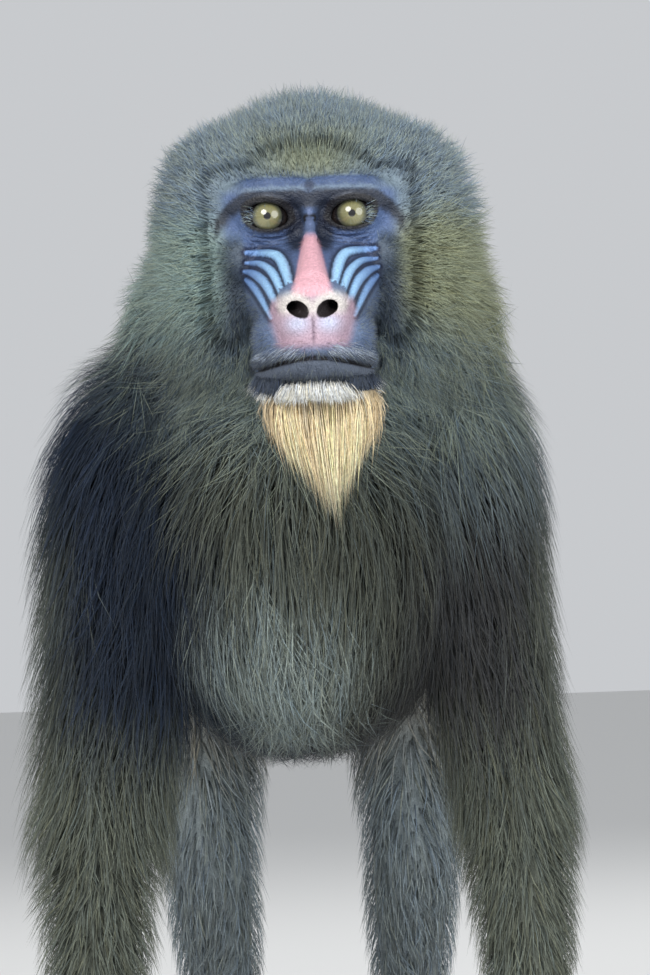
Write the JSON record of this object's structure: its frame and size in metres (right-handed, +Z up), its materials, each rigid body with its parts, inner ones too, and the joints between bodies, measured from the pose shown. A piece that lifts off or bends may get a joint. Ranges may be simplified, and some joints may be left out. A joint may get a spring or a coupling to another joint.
{
  "type": "mandrill",
  "caption": "Life-size mandrill standing on all fours with its head raised, as a still museum model with ruff, mantle, pointed beard and stub tail.",
  "frame": {"origin": "on the floor, under the middle of the animal's bounding box", "axes": "+Z up from the floor, the animal faces -Y, +X is the animal's own left; its greatest length lies along Y"},
  "size_m": [0.2658, 0.6138, 0.5489],
  "materials": {
    "tail": "short olive fur",
    "chest": "long dark blue-grey fur with a pale chest patch",
    "rump": "olive-brown fur",
    "belly": "medium grey-brown fur",
    "head": "olive-grey fur round a bare blue and pink face",
    "forearm_right": "olive ticked fur",
    "thigh_right": "olive-grey fur",
    "shin_right": "short grey fur",
    "hand_right": "dark skin with short hair on the back",
    "foot_right": "dark skin with short hair on the back",
    "eye_right": "glossy amber eye",
    "ear_right": "thin bare dark skin",
    "forearm_left": "olive ticked fur",
    "thigh_left": "olive-grey fur",
    "shin_left": "short grey fur",
    "hand_left": "dark skin with short hair on the back",
    "foot_left": "dark skin with short hair on the back",
    "eye_left": "glossy amber eye",
    "ear_left": "thin bare dark skin"
  },
  "bodies": {
    "root": {"tail": "tail", "chest": "chest", "rump": "rump", "belly": "belly", "head": "head", "forearm_right": "forearm_right", "thigh_right": "thigh_right", "shin_right": "shin_right", "hand_right": "hand_right", "foot_right": "foot_right", "eye_right": "eye_right", "ear_right": "ear_right", "forearm_left": "forearm_left", "thigh_left": "thigh_left", "shin_left": "shin_left", "hand_left": "hand_left", "foot_left": "foot_left", "eye_left": "eye_left", "ear_left": "ear_left"}
  },
  "joints": []
}
